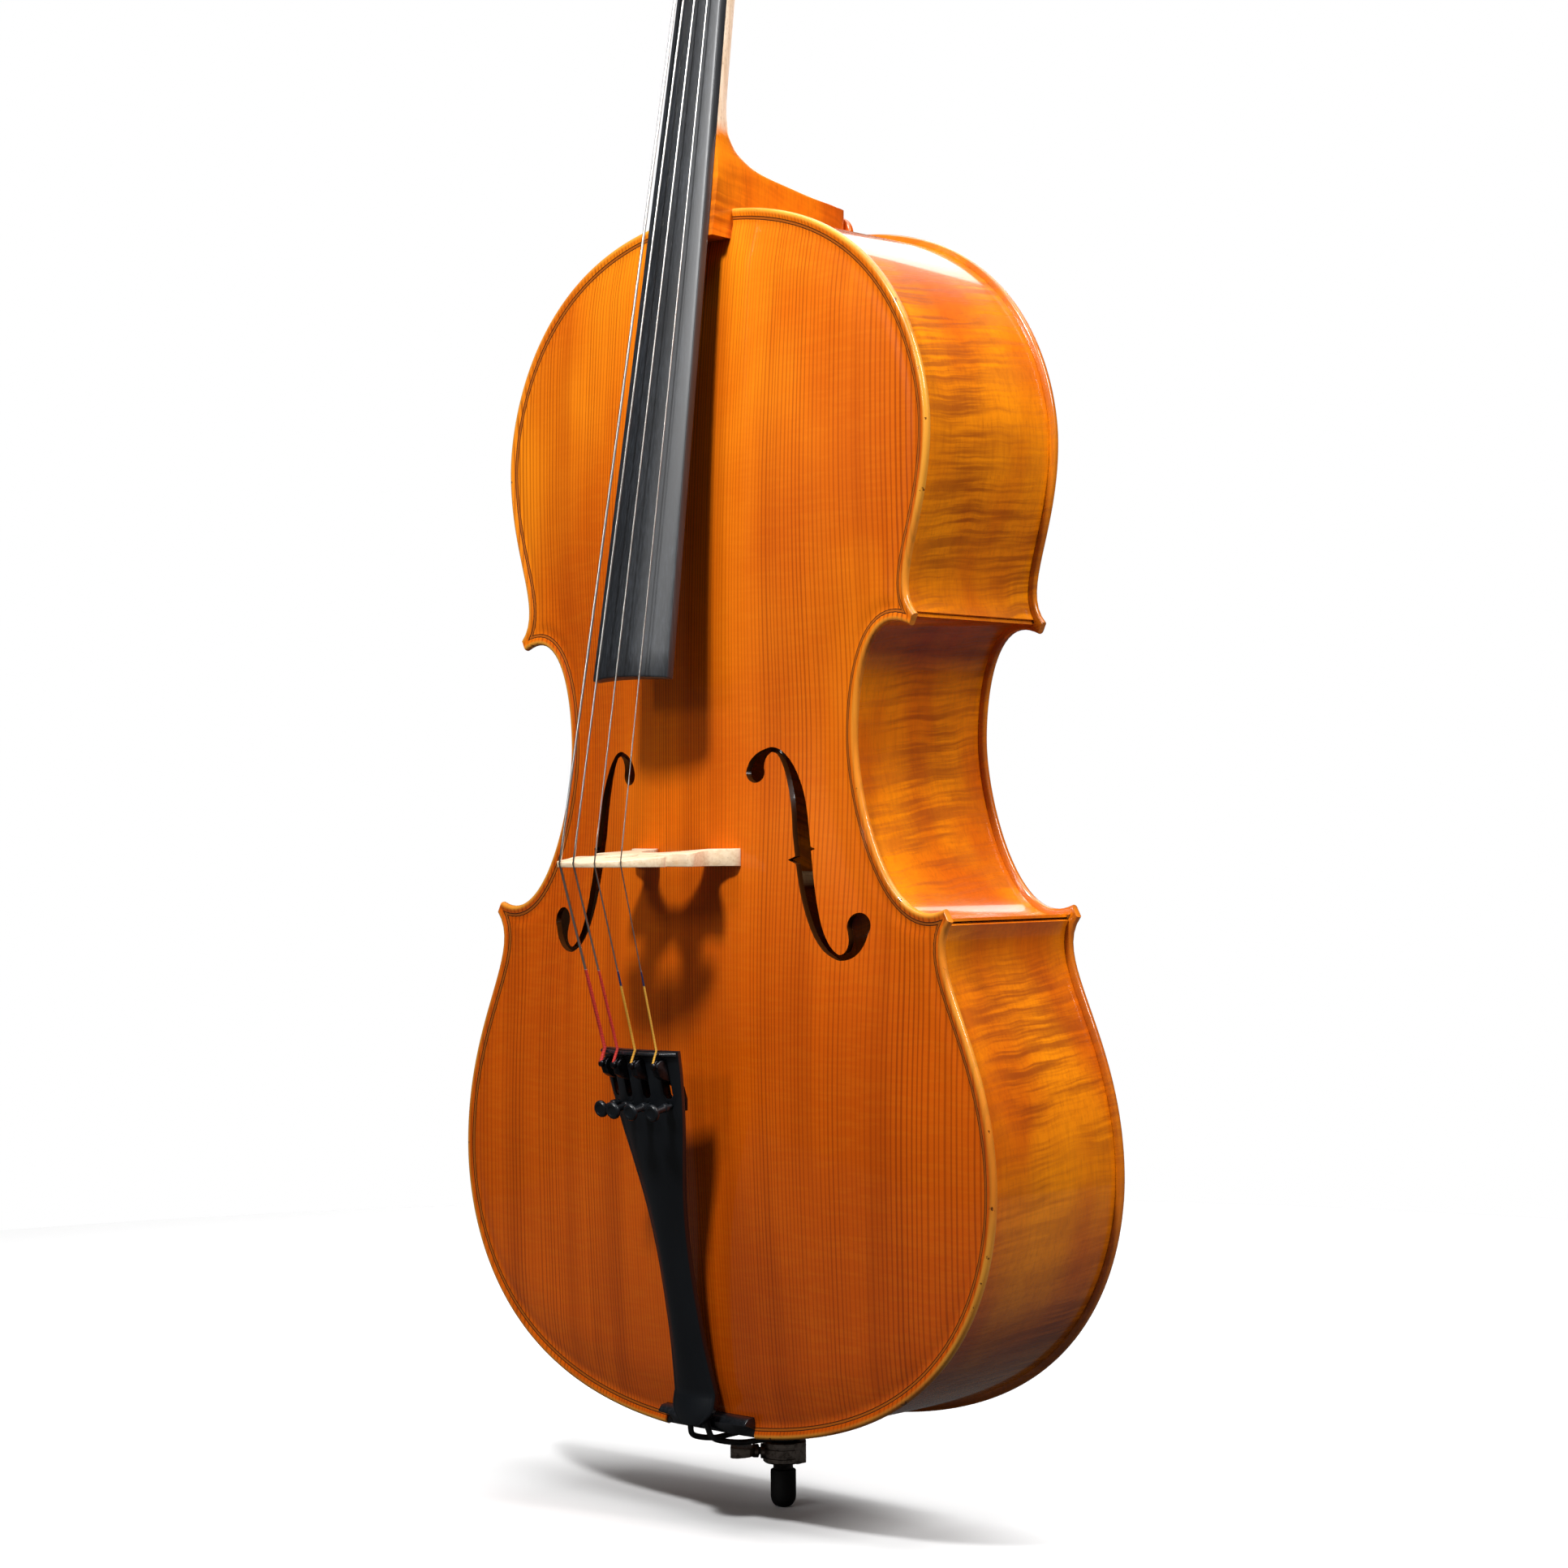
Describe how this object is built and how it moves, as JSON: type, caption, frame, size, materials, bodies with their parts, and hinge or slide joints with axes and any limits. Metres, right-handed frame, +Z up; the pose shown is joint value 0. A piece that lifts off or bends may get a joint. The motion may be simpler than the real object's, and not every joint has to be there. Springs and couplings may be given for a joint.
{
  "type": "cello",
  "caption": "Varnished wooden bowed bass-register string instrument held between the knees, with arched plates, carved scroll, turning pegs, fine tuners and a sliding endpin.",
  "frame": {"origin": "middle of the small flat at the lower end of the endpin's rubber tip, with the endpin slid all the way in, on the endpin's axis", "axes": "+Z up along the instrument from the endpin to the scroll, -Y towards the front (the belly and strings), +X towards the treble side"},
  "size_m": [0.4514, 0.2468, 1.267],
  "materials": {
    "varnished_spruce": "glossy orange-amber varnish over fine straight-grained spruce",
    "varnished_maple": "glossy golden-brown varnish over flamed maple; the neck's grip is bare and oiled",
    "inner_wood": "unfinished, sanded",
    "bare_maple": "unfinished, smooth, pores visible",
    "ebony": "black, hand-polished satin",
    "black_composite": "black satin composite",
    "black_cord": "black braided synthetic cord",
    "tuner_metal": "black coated metal lever",
    "string_steel": "flat-wound steel, wrapped in coloured silk at the ends",
    "rod_steel": "satin steel with a knurled lower collar",
    "dark_nickel": "worn dark nickel plating with bright edges",
    "black_rubber": "matt"
  },
  "bodies": {
    "body": {"top_plate": "varnished_spruce", "back_plate": "varnished_maple", "rib_upper_treble": "varnished_maple", "rib_upper_bass": "varnished_maple", "rib_centre_treble": "varnished_maple", "rib_centre_bass": "varnished_maple", "rib_lower_treble": "varnished_maple", "rib_lower_bass": "varnished_maple", "neck_block": "inner_wood", "end_block": "inner_wood", "corner_block_upper_treble": "inner_wood", "corner_block_upper_bass": "inner_wood", "corner_block_lower_treble": "inner_wood", "corner_block_lower_bass": "inner_wood", "lining_upper_top_treble": "inner_wood", "lining_upper_top_bass": "inner_wood", "lining_upper_back_treble": "inner_wood", "lining_upper_back_bass": "inner_wood", "lining_centre_top_treble": "inner_wood", "lining_centre_top_bass": "inner_wood", "lining_centre_back_treble": "inner_wood", "lining_centre_back_bass": "inner_wood", "lining_lower_top_treble": "inner_wood", "lining_lower_top_bass": "inner_wood", "lining_lower_back_treble": "inner_wood", "lining_lower_back_bass": "inner_wood", "bass_bar": "inner_wood", "sound_post": "inner_wood", "neck_and_scroll": "varnished_maple", "fingerboard": "ebony", "nut": "ebony", "saddle": "ebony", "bridge": "bare_maple", "tailpiece": "black_composite", "tail_cord": "black_cord", "string_c": "string_steel", "string_g": "string_steel", "string_d": "string_steel", "string_a": "string_steel", "endpin_socket": "black_composite", "endpin_clamp_ring": "dark_nickel"},
    "endpin": {"endpin_rod": "rod_steel", "endpin_tip": "black_rubber"},
    "thumbscrew": {"endpin_thumbscrew": "dark_nickel"},
    "peg_c": {"peg_c": "ebony", "string_winding_c": "string_steel"},
    "tuner_screw_c": {"tuner_screw_c": "black_composite"},
    "tuner_lever_c": {"tuner_lever_c": "tuner_metal"},
    "peg_g": {"peg_g": "ebony", "string_winding_g": "string_steel"},
    "tuner_screw_g": {"tuner_screw_g": "black_composite"},
    "tuner_lever_g": {"tuner_lever_g": "tuner_metal"},
    "peg_d": {"peg_d": "ebony", "string_winding_d": "string_steel"},
    "tuner_screw_d": {"tuner_screw_d": "black_composite"},
    "tuner_lever_d": {"tuner_lever_d": "tuner_metal"},
    "peg_a": {"peg_a": "ebony", "string_winding_a": "string_steel"},
    "tuner_screw_a": {"tuner_screw_a": "black_composite"},
    "tuner_lever_a": {"tuner_lever_a": "tuner_metal"}
  },
  "joints": [
    {"name": "endpin_slide", "type": "slide", "parent": "body", "child": "endpin", "axis": [0, 0, -1], "range_m": [0, 0.38]},
    {"name": "thumbscrew_turn", "type": "hinge", "parent": "body", "child": "thumbscrew", "pos_m": [0, 0, 0.0342], "axis": [-0.7254, -0.6884, 0], "range_deg": [-360, 90]},
    {"name": "peg_c_turn", "type": "hinge", "parent": "body", "child": "peg_c", "pos_m": [0, -0.02436, 1.10568], "axis": [-1, 0, 0], "continuous": true},
    {"name": "peg_g_turn", "type": "hinge", "parent": "body", "child": "peg_g", "pos_m": [0, -0.01197, 1.15724], "axis": [-1, 0, 0], "continuous": true},
    {"name": "peg_d_turn", "type": "hinge", "parent": "body", "child": "peg_d", "pos_m": [0, -0.00636, 1.18059], "axis": [1, 0, 0], "continuous": true},
    {"name": "peg_a_turn", "type": "hinge", "parent": "body", "child": "peg_a", "pos_m": [0, -0.01851, 1.13], "axis": [1, 0, 0], "continuous": true},
    {"name": "tuner_screw_c_turn", "type": "hinge", "parent": "body", "child": "tuner_screw_c", "pos_m": [-0.022, -0.11881, 0.2595], "axis": [0, -0.9782, -0.2079], "range_deg": [-540, 1800]},
    {"name": "tuner_lever_c_swing", "type": "hinge", "parent": "body", "child": "tuner_lever_c", "pos_m": [-0.022, -0.12581, 0.28], "axis": [1, 0, 0], "range_deg": [-2, 6]},
    {"name": "tuner_screw_g_turn", "type": "hinge", "parent": "body", "child": "tuner_screw_g", "pos_m": [-0.0075, -0.12273, 0.2595], "axis": [0, -0.9782, -0.2079], "range_deg": [-540, 1800]},
    {"name": "tuner_lever_g_swing", "type": "hinge", "parent": "body", "child": "tuner_lever_g", "pos_m": [-0.0075, -0.12973, 0.28], "axis": [1, 0, 0], "range_deg": [-2, 6]},
    {"name": "tuner_screw_d_turn", "type": "hinge", "parent": "body", "child": "tuner_screw_d", "pos_m": [0.0075, -0.12273, 0.2595], "axis": [0, -0.9782, -0.2079], "range_deg": [-540, 1800]},
    {"name": "tuner_lever_d_swing", "type": "hinge", "parent": "body", "child": "tuner_lever_d", "pos_m": [0.0075, -0.12973, 0.28], "axis": [1, 0, 0], "range_deg": [-2, 6]},
    {"name": "tuner_screw_a_turn", "type": "hinge", "parent": "body", "child": "tuner_screw_a", "pos_m": [0.022, -0.11881, 0.2595], "axis": [0, -0.9782, -0.2079], "range_deg": [-540, 1800]},
    {"name": "tuner_lever_a_swing", "type": "hinge", "parent": "body", "child": "tuner_lever_a", "pos_m": [0.022, -0.12581, 0.28], "axis": [1, 0, 0], "range_deg": [-2, 6]}
  ],
  "couplings": [
    {"joint": "tuner_lever_c_swing", "follows": "tuner_screw_c_turn", "ratio": 0.003},
    {"joint": "tuner_lever_g_swing", "follows": "tuner_screw_g_turn", "ratio": 0.003},
    {"joint": "tuner_lever_d_swing", "follows": "tuner_screw_d_turn", "ratio": 0.003},
    {"joint": "tuner_lever_a_swing", "follows": "tuner_screw_a_turn", "ratio": 0.003}
  ]
}
